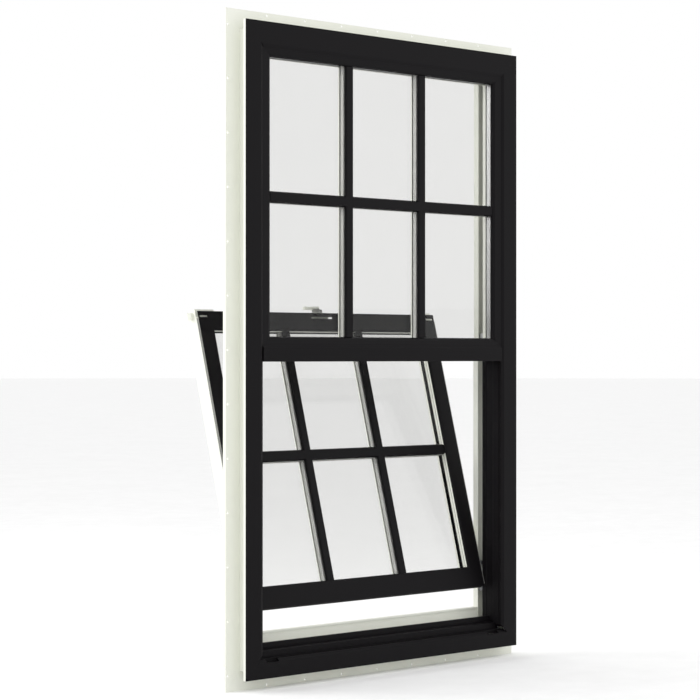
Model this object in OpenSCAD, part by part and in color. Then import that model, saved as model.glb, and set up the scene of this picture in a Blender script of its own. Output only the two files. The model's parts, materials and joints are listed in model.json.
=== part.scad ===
// Single-hung sash window: a nail-fin frame with a fixed upper light and a lower sash
// that slides up on coil balances and tilts into the room on two pivot bars.
// Origin: centre of the nail-hole pattern, in the plane of the fin's back.
// The outside is towards -Y, the room towards +Y, up is +Z.

/* [Frame] */
// Width of the frame body, fin and face flange left out
body_w = 749.3; // [620:0.1:920]
// Height of the frame body, fin and face flange left out
body_h = 1206.5; // [1000:0.1:1500]
// Depth of the frame from the outside face to the room side
frame_d = 82.5; // [80:0.5:100]
// How far the face flange stands out past the body
flange_over = 15; // [10:0.5:20]
// Thickness of the flange's rim
flange_t = 6.5; // [5:0.1:9]
// Thickness of the extrusion walls
wall = 2; // [1.5:0.1:2.4]

/* [Nailing fin] */
// Depth of the fin's front behind the outside face
fin_front = 31.75; // [26:0.25:38]
// Width of the fin past the body
fin_w = 36.5; // [28:0.5:44]
// Thickness of the fin
fin_t = 1.8; // [1.4:0.1:2.4]
// Distance from one nail hole to the next
hole_pitch = 101.6; // [80:0.1:125]
// Radius of a nail hole
hole_r = 2.4; // [1.8:0.1:3]
// Distance of the nail holes from the fin's edge
hole_in = 4.75; // [4:0.25:8]

/* [Upper light] */
// Depth of the glass behind the outside face
upper_glass_d = 10.4; // [9:0.1:13]
// Width that the side beads cover, from the jamb's reveal to the glass
side_bead_w = 23.2; // [18:0.1:32]
// Width that the head and meeting rail beads cover
end_bead_w = 16.05; // [15.5:0.05:24]
// Height of the meeting rail's lower edge above the frame's middle
rail_low = -22; // [-60:1:60]
// Height of the meeting rail's face
rail_face = 26.4; // [22:0.2:34]

/* [Sash] */
// Gap between the sash and the jamb at each side
sash_gap = 5; // [4.5:0.1:7]
// Thickness of the sash
sash_d = 39; // [38:0.5:44]
// Height that the sash stands above its closed place
raised = 63.7; // [30:0.1:300]
// Angle that the sash leans into the room
tilt = 14.6; // [8:0.1:30]
// Width of the sash's stiles seen from outside
stile_w = 38.7; // [36:0.1:50]
// Height of the sash's bottom rail seen from outside
bottom_rail_h = 43.1; // [42:0.1:56]
// Height of the sash's top rail seen from outside
top_rail_h = 38.2; // [37:0.1:52]

/* [Glass] */
// Thickness of one pane
pane_t = 3; // [2.5:0.1:4]
// Space between the two panes
pane_gap = 10; // [8:0.5:11]
// How far the panes reach behind the beads
bite = 10; // [8:0.5:10]

/* [Bars] */
// Width of a glazing bar
bar_w = 22; // [16:0.5:30]
// Distance between the middles of the upright bars
bar_pitch = 209; // [150:1:240]

/* [Hidden] */
$fn = 48;
eps = 0.01;

// colours of the finishes
black = [0.11, 0.11, 0.12];
cream = [0.93, 0.93, 0.89];
glass = [0.86, 0.90, 0.90, 0.35];
steel = [0.72, 0.73, 0.74];
grey = [0.55, 0.55, 0.53];

// frame: u runs in from the body's outer face, d runs in from the outside face
fin_back = fin_front + fin_t;
half_w = body_w / 2;
half_h = body_h / 2;
back_in = 3.5;              // the body steps in by this behind the fin
face_in = 24.65;            // jamb face, from the body's outer face to the chamfer
nose_in = 31.65;            // jamb nose and reveal
chamfer_d = 3;              // depth of the chamfer round the face
nose_d = 6;                 // depth of the nose's back
liner_t = wall;             // thickness of the liner on the jamb
recess_in = nose_in - liner_t;
head_face_in = 27.35;
head_nose_in = 34.05;
head_recess_in = head_nose_in - wall;
liner_end_d = 54;           // depth where the liner ends
room_in = 27.85;            // face of the jamb's room-side leg and of the slot's mouth
slot_start_d = 57;          // depth where the track slot starts
slot_end_d = 70;            // depth where the track slot ends
track_d = (slot_start_d + slot_end_d) / 2;
pocket_d0 = 52;             // the balance pocket behind the slot
pocket_d1 = 78;
pocket_out = back_in + wall + 0.5;
pocket_in = room_in - wall;
web_d = fin_back - 1;       // the inner web in line with the fin
reveal_x = half_w - nose_in;
recess_x = half_w - recess_in;
fin_hole_x = half_w + fin_w - hole_in;
fin_hole_z = half_h + fin_w - hole_in;
corner_room = 20;           // the last hole stays this far from the other row
holes_across = floor((fin_hole_x - corner_room) / hole_pitch);
holes_up = floor((fin_hole_z - corner_room) / hole_pitch);

// sill, from the body's lower face
sill_face_top = 14.85;
sill_lip_top = 20.5;        // top of the drip lip over the face
sill_lip_d = 8;
sill_lip_end = 41;          // the lip stops this far short of each jamb
sill_notch_w = 31;          // length of the notch beside the lip
sill_groove = 17;           // floor of the groove behind the lip
sill_groove_d = 12;
sill_step = 34.25;          // the step behind the groove, and its sloping top
sill_step_d = 20;
sill_slope = 37.25;
sill_ridge = 47.25;         // ridge in front of the closed sash
sill_ridge_d0 = 36;
sill_ridge_d1 = 42;
sill_shelf = 39.25;         // the shelf under the closed sash
sill_shelf_d = 44;
sill_dam = 63.25;           // top of the dam on the room side
sill_dam_d = 71;

// upper light
rail_face_top = rail_low + rail_face;
rail_nose_z = rail_face_top + 4.9;
rail_back_d = 44.5;
rail_shelf_z = rail_low + 43;   // ledge behind the glass, level with the keeper
rail_recess_z = rail_nose_z - wall;
glass_back_d = upper_glass_d + 2 * pane_t + pane_gap;
stop_back_d = glass_back_d + 9.6;
stop_foot_d = 44.5;
bead_foot_d = 20;
upper_open_x = reveal_x - side_bead_w;
upper_open_top = half_h - head_nose_in - end_bead_w;
upper_open_low = rail_nose_z + end_bead_w + 0.15;
edge_room = 3.2;            // space round the panes in their rebate
spacer_w = 7;
spacer_in = 2;              // the spacer sits this far inside the panes' edge
screw_d = 18;               // depth of the meeting rail's screws
screw_z = [rail_low + 12.6, rail_low + 26];
screw_r = 1.85;
boss_r = 4.2;

// sash, in its own frame: x across, y in from its outside face, z up from its lower edge
sash_w2 = reveal_x - sash_gap;
seal_h = 2.2;
seal_clear = 0.3;
closed_z = -half_h + sill_shelf + seal_h + seal_clear;
rail_lap = 48.5;            // the closed sash reaches this far above the meeting rail's edge
sash_h = rail_low + rail_lap - closed_z;
pivot_y = 17.8;
pivot_h = 12;
pivot_z = closed_z + pivot_h + raised;
lip_d = 8;                  // glass behind the sash's outside face
sash_glass_back = lip_d + 2 * pane_t + pane_gap;
sash_open_x = sash_w2 - stile_w;
sash_open_low = bottom_rail_h;
sash_open_top = sash_h - top_rail_h;
rebate = bite + 2;          // depth of the glazing rebate
leg_d = 21.5;                // the bottom rail's outer leg, in front of the dam
leg_h = 28.2;               // the room side of the bottom rail clears the dam
flange_h = 12;              // black flange that stands on the top rail's outside edge
flange_leg_t = 2;
slot_h = 3.9;               // slots at the flange's foot
slot_lock_w2 = 30;          // half width of the slot in front of the lock
slot_end_x = [4, 25];       // slots near the ends, from the sash's side
pile_slot = 2.4;
pile_out = 3.5;
pile_y0 = 0.9;
pile_w = 3;

// balances
shoe_clear = 0.5;
shoe_x0 = half_w - pocket_in + shoe_clear;
shoe_x1 = half_w - pocket_out - shoe_clear;
shoe_y0 = pocket_d0 + shoe_clear;
shoe_y1 = pocket_d1 - shoe_clear;
shoe_low = 20;              // shoe below the pivot
shoe_high = 42;             // shoe above the pivot
cam_r = 8.95;
cam_fit = 0.05;             // running clearance of the cam in the shoe
coil_r = (shoe_x1 - shoe_x0) / 2 - 0.6;
coil_hub_r = 4.5;
coil_w = 14;
coil_up = 26;               // coil's middle above the pivot
ribbon_t = 0.4;
ribbon_w = 12;
bracket_z0 = 6;
bracket_h = 30;
bracket_screw_r = 2;
bar_y = 5;                  // pivot bar section
bar_z = 9;

// lock, on the middle of the top rail
lock_w2 = 32;
lock_y0 = 5;
lock_y1 = 33;
lock_h = 14;
lock_screw = [23, 27];
lock_screw_r = 1.8;
cam_pivot_y = 14;
cam_z0 = 1;                 // cam above the rail's top
cam_t = 2.4;
tongue_l = 22;
tongue_w2 = 3.5;
cam_sweep = 0.8;            // room round the tongue's path
shaft_r = 4;
shaft_fit = 0.05;
lever_z = lock_h + 9.5;
lever_l = 34;
keeper_w2 = 27;
keeper_z0 = rail_low + 33;
keeper_slot = [-8, 20.5];   // ends of the keeper's slot along X
keeper_wall = 1.5;
keeper_room = 0.8;          // the slot's room above and below the tongue
keeper_screw_x = 24;
keeper_screw_r = 1.5;
keeper_d = (stop_back_d + rail_back_d) / 2;

// tilt latches, in the top rail's ends
latch_y0 = 12.6;
latch_y1 = 23;
latch_z = 7;                // middle of the bolt below the flange's top
latch_h = 14;
latch_l = 42;
latch_out = 12;             // the nose stands this far out of the sash
latch_fit = 0.2;
latch_floor = 2.1;
latch_box_l = 50;
latch_box = [[7.8, 5.5], [29.1, 1], [37.5, -13.3]];   // housing's top edge, (depth, above the flange)
tab_u = [12, 20];           // thumb tab along the bolt, from the sash's side
tab_slot = [10.5, 36];

bracket_x0 = sash_w2 + latch_out + 1;   // the latch noses run past the brackets

function Y(d) = d - fin_back;

// ---------- helpers ----------

// draws its children in the sash's own frame, at the sash's lean
module in_sash() {
    translate([0, Y(track_d), pivot_z]) rotate([-tilt, 0, 0])
        translate([0, -pivot_y, -pivot_h]) children();
}

module box(low, high) {
    translate(low) cube(high - low);
}

// a bar along Z with the section (u, d), u measured in from x = -half width
module upright(length) {
    linear_extrude(height = length, center = true) children();
}

// the same section laid along X, with u pointing up
module level(length) {
    rotate([0, -90, 0]) linear_extrude(height = length, center = true) children();
}

// an outline in the XZ plane, from y0 to y1
module slab(y0, y1) {
    translate([0, y1, 0]) rotate([90, 0, 0]) linear_extrude(height = y1 - y0) children();
}

// trims an upright member to 45 degrees at both ends, up to the reveal
module mitre_upright(half_len, out, in_) {
    slab(-10, 200) polygon([[-out, half_len + out], [in_, half_len - in_],
        [in_, -(half_len - in_)], [-out, -(half_len + out)]]);
}

// trims a level member to 45 degrees up to the reveal, and square past it
module mitre_level(half_len, out, in_, y0 = -10, y1 = 200) {
    slab(y0, y1) polygon([[-(half_len + out), -out], [-(half_len - in_), in_],
        [-(half_len - in_), 200], [half_len - in_, 200], [half_len - in_, in_],
        [half_len + out, -out]]);
}

// trims the head and the sill against the jambs' reveal and their room-side legs
module mitre_frame() {
    mitre_level(half_w, fin_w, nose_in, -10, slot_start_d);
    mitre_level(half_w, fin_w, room_in, slot_start_d, 200);
}

// a rectangular ring in the XZ plane, from y0 to y1
module ring(x_out, z_low, z_top, width, y0, y1) {
    difference() {
        box([-x_out, y0, z_low], [x_out, y1, z_top]);
        box([-x_out + width, y0 - 1, z_low + width], [x_out - width, y1 + 1, z_top - width]);
    }
}

// glazing bars: two uprights and a level one, bevelled on the side away from the glass
module bars(open_x, z_low, z_top, y_glass, y_front, face_w) {
    section = [[-bar_w / 2, y_glass], [-face_w / 2, y_front],
        [face_w / 2, y_front], [bar_w / 2, y_glass]];
    for (s = [-1, 1])
        translate([s * bar_pitch / 2, 0, z_low])
            linear_extrude(height = z_top - z_low) polygon(section);
    translate([0, 0, (z_low + z_top) / 2])
        level(2 * open_x) polygon(section);
}

// the flat bars between the panes
module flat_bars(x_end, z_low, z_top, y0, y1) {
    for (s = [-1, 1])
        box([s * bar_pitch / 2 - bar_w / 2, y0, z_low], [s * bar_pitch / 2 + bar_w / 2, y1, z_top]);
    box([-x_end, y0, (z_low + z_top - bar_w) / 2], [x_end, y1, (z_low + z_top + bar_w) / 2]);
}

// a screw along +Z: its pan head below z = 0, its shank above
module screw(r, length) {
    cylinder(r = r, h = length);
    difference() {
        translate([0, 0, -2.2]) cylinder(r = 2 * r, h = 2.2);
        translate([0, 0, -2.3]) cylinder(r = r * 0.7, h = 1.2, $fn = 6);
    }
}

// ---------- frame ----------

// what all four members share: flange, outer wall, fin and the step behind it
module outer_side(inner_u) {
    polygon([[-flange_over, 0], [inner_u, 0], [inner_u, frame_d], [back_in, frame_d],
        [back_in, fin_back], [-fin_w, fin_back], [-fin_w, fin_front], [0, fin_front],
        [0, flange_t], [-flange_over, flange_t]]);
}

module flange_chamber() {
    polygon([[-flange_over + wall, wall], [0, wall], [0, flange_t - wall],
        [-flange_over + wall, flange_t - wall]]);
}

module jamb_section() {
    difference() {
        intersection() {
            outer_side(nose_in);
            polygon([[-fin_w, 0], [face_in, 0], [nose_in, chamfer_d], [nose_in, nose_d],
                [recess_in, nose_d], [recess_in, liner_end_d], [room_in, slot_start_d],
                [room_in, frame_d], [-fin_w, frame_d]]);
        }
        flange_chamber();
        polygon([[wall, wall], [face_in - 1, wall], [recess_in - wall, wall + 2],
            [recess_in - wall, web_d - wall], [wall, web_d - wall]]);
        polygon([[back_in + wall, fin_back], [recess_in - wall, fin_back],
            [recess_in - wall, pocket_d0 - wall], [back_in + wall, pocket_d0 - wall]]);
        polygon([[pocket_out, pocket_d0], [pocket_in, pocket_d0], [pocket_in, slot_start_d],
            [nose_in + 1, slot_start_d], [nose_in + 1, slot_end_d], [pocket_in, slot_end_d],
            [pocket_in, pocket_d1], [pocket_out, pocket_d1]]);
    }
}

module fin_holes_up() {
    for (i = [-holes_up : holes_up])
        translate([-fin_hole_x, Y(fin_front) - 1, i * hole_pitch])
            rotate([-90, 0, 0]) cylinder(r = hole_r, h = fin_t + 2);
}

module fin_holes_across() {
    for (i = [-holes_across : holes_across])
        translate([i * hole_pitch, Y(fin_front) - 1, -fin_hole_z])
            rotate([-90, 0, 0]) cylinder(r = hole_r, h = fin_t + 2);
}

module jamb() {
    difference() {
        translate([-half_w, -fin_back, 0]) intersection() {
            upright(body_h + 2 * fin_w) jamb_section();
            mitre_upright(half_h, fin_w, nose_in);
        }
        fin_holes_up();
        for (z = screw_z)
            translate([-half_w - 1, Y(screw_d), z]) rotate([0, 90, 0])
                cylinder(r = screw_r + 0.1, h = recess_in + 2);
        translate([-half_w + back_in - 1, Y(track_d), bracket_z0 + bracket_h / 2])
            rotate([0, 90, 0]) cylinder(r = bracket_screw_r, h = 5);
    }
}

module jamb_left() { color(cream) jamb(); }
module jamb_right() { color(cream) mirror([1, 0, 0]) jamb(); }

// black liner on the jamb below the meeting rail, with the insect screen's groove
module jamb_liner() {
    low = -half_h + nose_in;
    translate([-half_w, -fin_back, low]) linear_extrude(height = rail_low - low)
        polygon([[recess_in, nose_d], [nose_in, nose_d], [nose_in, nose_d + 0.8],
            [recess_in + 0.6, nose_d + 1.2], [recess_in + 0.6, nose_d + 2.6],
            [nose_in, nose_d + 3], [nose_in, 24], [recess_in + 0.8, 26],
            [recess_in + 0.8, 42], [nose_in, 44], [nose_in, liner_end_d],
            [recess_in, liner_end_d]]);
}

module jamb_liner_left() { color(black) jamb_liner(); }
module jamb_liner_right() { color(black) mirror([1, 0, 0]) jamb_liner(); }

module head() {
    color(cream) mirror([0, 0, 1]) difference() {
        translate([0, -fin_back, -half_h]) intersection() {
            level(body_w + 2 * fin_w) difference() {
                intersection() {
                    outer_side(head_nose_in);
                    polygon([[-fin_w, 0], [head_face_in, 0], [head_nose_in, chamfer_d],
                        [head_nose_in, nose_d], [head_recess_in, nose_d],
                        [head_recess_in, 52], [24, 54], [24, slot_end_d],
                        [room_in, slot_end_d], [room_in, frame_d], [-fin_w, frame_d]]);
                }
                flange_chamber();
                polygon([[wall, wall], [head_face_in - 1, wall], [head_recess_in - wall, wall + 2],
                    [head_recess_in - wall, web_d - wall], [wall, web_d - wall]]);
                polygon([[back_in + wall, fin_back], [head_recess_in - wall, fin_back],
                    [head_recess_in - wall, 51], [22, 53], [22, slot_end_d + wall],
                    [room_in - wall, slot_end_d + wall], [room_in - wall, frame_d - wall],
                    [back_in + wall, frame_d - wall]]);
            }
            mitre_frame();
        }
        fin_holes_across();
    }
}

module sill() {
    color(cream) difference() {
        translate([0, -fin_back, -half_h]) intersection() {
            level(body_w + 2 * fin_w) difference() {
                intersection() {
                    outer_side(sill_dam);
                    polygon([[-fin_w, 0], [sill_face_top, 0], [sill_lip_top, 6],
                        [sill_lip_top, sill_lip_d], [sill_groove, sill_lip_d],
                        [sill_groove, sill_groove_d], [22, sill_groove_d], [23, sill_step_d],
                        [sill_step, sill_step_d], [sill_slope, sill_ridge_d0],
                        [sill_ridge, sill_ridge_d0], [sill_ridge, sill_ridge_d1],
                        [sill_shelf, sill_shelf_d], [sill_shelf, sill_dam_d],
                        [56.5, sill_dam_d], [56.5, sill_dam_d + 2.4], [60, sill_dam_d + 2.4],
                        [60, sill_dam_d], [sill_dam, sill_dam_d], [sill_dam, frame_d],
                        [-fin_w, frame_d]]);
                }
                flange_chamber();
                polygon([[wall, wall], [sill_face_top - wall, wall], [15, 6],
                    [15, web_d - wall], [wall, web_d - wall]]);
                polygon([[17, 22], [sill_step - wall, 22], [sill_slope - 3.4, web_d - wall],
                    [17, web_d - wall]]);
                polygon([[back_in + wall, fin_back], [sill_slope - wall, fin_back],
                    [sill_slope - wall, sill_ridge_d0 + wall],
                    [sill_ridge - wall, sill_ridge_d0 + wall],
                    [sill_ridge - wall, sill_ridge_d1 - wall], [sill_shelf - wall, sill_ridge_d1],
                    [sill_shelf - wall, 60], [back_in + wall, 60]]);
                polygon([[back_in + wall, 62], [sill_shelf - wall, 62],
                    [sill_shelf - wall, sill_dam_d + 4.4], [sill_dam - wall, sill_dam_d + 4.4],
                    [sill_dam - wall, frame_d - wall], [back_in + wall, frame_d - wall]]);
            }
            mitre_frame();
        }
        fin_holes_across();
        for (s = [-1, 1])
            translate([s * (reveal_x - sill_lip_end + sill_notch_w / 2), Y(sill_lip_d / 2),
                -half_h + sill_face_top + 10])
                cube([sill_notch_w, sill_lip_d, 20], center = true);
    }
}

// ---------- meeting rail ----------

module meeting_rail() {
    color(black) difference() {
        translate([0, -fin_back, 0]) level(2 * recess_x) difference() {
            polygon([[rail_low, 0], [rail_face_top, 0], [rail_nose_z, chamfer_d],
                [rail_nose_z, nose_d], [rail_recess_z, nose_d],
                [rail_recess_z, glass_back_d], [upper_open_low, glass_back_d],
                [upper_open_low, stop_back_d - 2], [upper_open_low - 2, stop_back_d],
                [rail_shelf_z, stop_back_d], [rail_shelf_z, rail_back_d],
                [rail_low + 20, rail_back_d], [rail_low + 20, rail_back_d - 2.4],
                [rail_low + 14, rail_back_d - 2.4], [rail_low + 14, rail_back_d],
                [rail_low, rail_back_d]]);
            difference() {
                polygon([[rail_low + wall, wall], [rail_face_top - 1, wall],
                    [rail_recess_z - wall, wall + 3], [rail_recess_z - wall, screw_d - 1],
                    [rail_low + wall, screw_d - 1]]);
                for (z = screw_z) translate([z, screw_d]) circle(r = boss_r);
            }
            difference() {
                polygon([[rail_low + wall, screw_d + 1], [rail_recess_z - wall, screw_d + 1],
                    [rail_recess_z - wall, rail_back_d - 4.4],
                    [rail_low + wall, rail_back_d - 4.4]]);
                for (z = screw_z) translate([z, screw_d]) circle(r = boss_r);
            }
            polygon([[rail_recess_z, glass_back_d + wall],
                [upper_open_low - wall, glass_back_d + wall],
                [upper_open_low - wall, stop_back_d - 2.8],
                [upper_open_low - 2.8, stop_back_d - wall], [rail_recess_z, stop_back_d - wall]]);
            for (z = screw_z) translate([z, screw_d]) circle(r = screw_r);
        }
        for (s = [-1, 1]) {
            translate([s * (reveal_x + 5), Y(nose_d / 2) - 1, rail_nose_z - 30])
                cube([10, nose_d + 2, 100], center = true);
            translate([s * keeper_screw_x, Y(keeper_d), rail_recess_z - wall - 1])
                cylinder(r = keeper_screw_r, h = 40);
        }
        box([-keeper_w2, Y(stop_back_d), keeper_z0], [keeper_w2, Y(rail_back_d + 1),
            rail_shelf_z + 1]);
    }
}

module meeting_rail_pile() {
    color(grey) box([-sash_w2 + 4, Y(rail_back_d - 2.4), rail_low + 14],
        [sash_w2 - 4, Y(track_d - pivot_y - 0.4), rail_low + 20]);
}

module meeting_rail_screws() {
    color(cream) for (s = [0, 1], z = screw_z)
        mirror([s, 0, 0]) translate([-half_w, Y(screw_d), z])
            rotate([0, 90, 0]) screw(screw_r, recess_in + 18);
}

// ---------- upper light ----------

// section of a glazing bead: the foot behind the nose, the sloping face, the glass edge
module bead_section(cover, foot) {
    difference() {
        polygon([[-wall, nose_d], [0, nose_d], [0, chamfer_d], [cover - 6.3, 4.2],
            [cover - 2, 6.2], [cover, upper_glass_d], [foot, upper_glass_d],
            [foot, bead_foot_d], [-wall, bead_foot_d]]);
        if (foot > 5)
            polygon([[1.4, 7.6], [foot - 1.6, 7.6], [foot - 1.6, bead_foot_d - 1.6],
                [1.4, bead_foot_d - 1.6]]);
    }
}

// section of an inner stop: the leg behind the glass and the foot along the reveal
module stop_section(cover, foot) {
    difference() {
        polygon([[-wall, bead_foot_d], [1, bead_foot_d], [1, glass_back_d],
            [cover, glass_back_d], [cover, stop_back_d - 2], [cover - 2, stop_back_d],
            [1, stop_back_d], [1, foot], [-wall, foot]]);
        polygon([[2.6, glass_back_d + 1.6], [cover - 1.6, glass_back_d + 1.6],
            [cover - 1.6, stop_back_d - 2.4], [cover - 2.6, stop_back_d - 1.6],
            [2.6, stop_back_d - 1.6]]);
    }
}

foot_side = side_bead_w - bite - edge_room;
foot_end = end_bead_w - bite - edge_room + 0.6;
foot_low = foot_end - 1;

// fills the reveal's side between the meeting rail and the head, mitred at both ends
module side_trim(low_cover, top_cover) {
    z0 = rail_nose_z - wall;
    z1 = half_h - head_recess_in;
    translate([-reveal_x, -fin_back, z0]) intersection() {
        linear_extrude(height = z1 - z0) children();
        rotate([90, 0, 0]) linear_extrude(height = 400, center = true)
            polygon([[-wall, 0], [0, wall], [side_bead_w, wall + low_cover],
                [side_bead_w, z1 - z0 - wall - top_cover], [0, z1 - z0 - wall],
                [-wall, z1 - z0]]);
    }
}

// fills the reveal at the head (top) or the meeting rail (bottom), mitred to the sides
module end_trim(z_reveal, cover, up) {
    translate([0, -fin_back, z_reveal]) mirror([0, 0, up ? 0 : 1]) intersection() {
        level(2 * recess_x) children();
        rotate([90, 0, 0]) linear_extrude(height = 400, center = true)
            polygon([[-reveal_x - wall, -wall], [-reveal_x, 0], [-reveal_x + side_bead_w, cover],
                [reveal_x - side_bead_w, cover], [reveal_x, 0], [reveal_x + wall, -wall]]);
    }
}

low_cover = upper_open_low - rail_nose_z;

module upper_bead_left() {
    color(black) side_trim(low_cover, end_bead_w) bead_section(side_bead_w, foot_side);
}
module upper_bead_right() {
    color(black) mirror([1, 0, 0]) side_trim(low_cover, end_bead_w)
        bead_section(side_bead_w, foot_side);
}
module upper_bead_head() {
    color(black) end_trim(half_h - head_nose_in, end_bead_w, false)
        bead_section(end_bead_w, foot_end);
}
module upper_bead_sill() {
    color(black) end_trim(rail_nose_z, low_cover, true) bead_section(low_cover, foot_low);
}

module upper_stop_left() {
    color(cream) side_stop();
}
module upper_stop_right() {
    color(cream) mirror([1, 0, 0]) side_stop();
}
module side_stop() {
    z1 = half_h - head_recess_in;
    translate([-reveal_x, -fin_back, 0]) intersection() {
        translate([0, 0, upper_open_low])
            linear_extrude(height = z1 - upper_open_low) stop_section(side_bead_w, stop_foot_d);
        rotate([90, 0, 0]) linear_extrude(height = 400, center = true)
            polygon([[-wall, upper_open_low], [side_bead_w, upper_open_low],
                [side_bead_w, upper_open_top], [0, z1 - wall], [-wall, z1]]);
    }
}
module upper_stop_head() {
    color(cream) end_trim(half_h - head_nose_in, end_bead_w, false)
        stop_section(end_bead_w, stop_foot_d);
}

module upper_pane(y0) {
    box([-upper_open_x - bite, Y(y0), upper_open_low - bite],
        [upper_open_x + bite, Y(y0 + pane_t), upper_open_top + bite]);
}
module upper_pane_outer() { color(glass) upper_pane(upper_glass_d); }
module upper_pane_inner() { color(glass) upper_pane(upper_glass_d + pane_t + pane_gap); }

module upper_spacer() {
    color(grey) ring(upper_open_x + bite - spacer_in, upper_open_low - bite + spacer_in,
        upper_open_top + bite - spacer_in, spacer_w,
        Y(upper_glass_d + pane_t), Y(upper_glass_d + pane_t + pane_gap));
}

module upper_setting_blocks() {
    color(black) for (s = [-1, 1])
        box([s * upper_open_x / 2 - 40, Y(upper_glass_d + 0.5), rail_nose_z + foot_low],
            [s * upper_open_x / 2 + 40, Y(glass_back_d - 0.5), upper_open_low - bite]);
}

module upper_bars_outer() {
    color(black) bars(upper_open_x, upper_open_low, upper_open_top,
        Y(upper_glass_d), Y(upper_glass_d - 4), bar_w - 5);
}
module upper_bars_between() {
    edge = bite - spacer_in - spacer_w;
    color(grey) flat_bars(upper_open_x + edge, upper_open_low - edge, upper_open_top + edge,
        Y(upper_glass_d + pane_t + 1), Y(upper_glass_d + pane_t + pane_gap - 1));
}
module upper_bars_inner() {
    color(cream) bars(upper_open_x, upper_open_low, upper_open_top,
        Y(glass_back_d), Y(glass_back_d + 6), bar_w - 6);
}

// ---------- lock keeper on the meeting rail ----------

module lock_keeper() {
    tongue_z = closed_z + sash_h - flange_h + cam_z0;
    color(steel) difference() {
        box([-keeper_w2, Y(stop_back_d), keeper_z0], [keeper_w2, Y(rail_back_d), rail_shelf_z]);
        box([keeper_slot[0], Y(stop_back_d + keeper_wall), tongue_z - keeper_room],
            [keeper_slot[1], Y(rail_back_d + 1), tongue_z + cam_t + keeper_room]);
        for (s = [-1, 1])
            translate([s * keeper_screw_x, Y(keeper_d), keeper_z0 - 1])
                cylinder(r = keeper_screw_r, h = 30);
    }
}

module keeper_screws() {
    color(steel) for (s = [-1, 1])
        translate([s * keeper_screw_x, Y(keeper_d), rail_recess_z - wall])
            cylinder(r = keeper_screw_r, h = rail_shelf_z - rail_recess_z + wall);
}

// ---------- balances ----------

module balance_bracket() {
    color(steel) difference() {
        box([-shoe_x1, Y(shoe_y0), bracket_z0], [-bracket_x0, Y(shoe_y1), bracket_z0 + bracket_h]);
        translate([-shoe_x1 - 1, Y(track_d), bracket_z0 + bracket_h / 2]) rotate([0, 90, 0])
            cylinder(r = bracket_screw_r, h = 40);
        translate([-bracket_x0 - 4, Y(track_d), bracket_z0 + bracket_h / 2]) rotate([0, 90, 0])
            cylinder(r = 2 * bracket_screw_r + 0.2, h = 10);
    }
}
module balance_bracket_left() { balance_bracket(); }
module balance_bracket_right() { mirror([1, 0, 0]) balance_bracket(); }

module bracket_screws() {
    color(steel) for (s = [0, 1])
        mirror([s, 0, 0]) translate([-bracket_x0 - 4, Y(track_d), bracket_z0 + bracket_h / 2])
            rotate([0, -90, 0]) screw(bracket_screw_r, shoe_x1 - bracket_x0);
}

// the spring ribbon from the coil up to the bracket, along the pocket's outer wall
module balance_ribbon() {
    color(steel) translate([-shoe_x1, Y(track_d), pivot_z + coil_up])
        translate([0.6 - ribbon_t, -ribbon_w / 2, 0])
            cube([ribbon_t, ribbon_w, bracket_z0 - pivot_z - coil_up]);
}
module balance_ribbon_left() { balance_ribbon(); }
module balance_ribbon_right() { mirror([1, 0, 0]) balance_ribbon(); }

// sliding shoe: the cam's bore below, the coil's nest above
module balance_shoe() {
    mid_x = (shoe_x0 + shoe_x1) / 2;
    color(grey) translate([0, 0, pivot_z]) difference() {
        box([-shoe_x1, Y(shoe_y0), -shoe_low], [-shoe_x0, Y(shoe_y1), shoe_high]);
        translate([-shoe_x1 + 3, Y(track_d), 0]) rotate([0, 90, 0])
            cylinder(r = cam_r + cam_fit, h = 40);
        difference() {
            box([-shoe_x1 - 1, Y(track_d - coil_w / 2 - 1), coil_up - 12],
                [-shoe_x0 + 1, Y(track_d + coil_w / 2 + 1), shoe_high + 1]);
            translate([-mid_x, Y(track_d), coil_up]) rotate([90, 0, 0])
                cylinder(r = coil_hub_r, h = 60, center = true);
        }
    }
}
module balance_shoe_left() { balance_shoe(); }
module balance_shoe_right() { mirror([1, 0, 0]) balance_shoe(); }

module balance_coil() {
    mid_x = (shoe_x0 + shoe_x1) / 2;
    color(steel) translate([-mid_x, Y(track_d), pivot_z + coil_up]) rotate([90, 0, 0])
        difference() {
            cylinder(r = coil_r, h = coil_w, center = true);
            cylinder(r = coil_hub_r + 0.3, h = coil_w + 2, center = true);
        }
}
module balance_coil_left() { balance_coil(); }
module balance_coil_right() { mirror([1, 0, 0]) balance_coil(); }

// ---------- sash ----------

// stile section: u in from the sash's side, then depth
module stile_section() {
    polygon([[0, 0], [stile_w - 3, 0], [stile_w, 3], [stile_w, lip_d],
        [stile_w - rebate, lip_d], [stile_w - rebate, sash_d], [3.5, sash_d], [0, sash_d - 5],
        [0, pile_y0 + pile_w], [pile_slot, pile_y0 + pile_w], [pile_slot, pile_y0],
        [0, pile_y0]]);
}

module stile_chambers() {
    rebate_u = stile_w - rebate;
    polygon([[pile_slot + wall, wall], [stile_w - 4, wall], [stile_w - wall, 3.8],
        [stile_w - wall, lip_d - wall], [pile_slot + wall, lip_d - wall]]);
    polygon([[wall, lip_d], [rebate_u - wall, lip_d], [rebate_u - wall, 20], [wall, 20]]);
    polygon([[wall, 22], [rebate_u - wall, 22], [rebate_u - wall, sash_d - wall],
        [4.6, sash_d - wall], [wall, sash_d - 5.6]]);
}

// seat of the latch housing, cut in the rail and in the stile
module latch_pocket() {
    box([-sash_w2 - 20, latch_box[0][0], sash_h - latch_z - latch_h / 2 - latch_floor],
        [-sash_w2 + latch_box_l, latch_box[2][0], sash_h + 10]);
}

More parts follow.
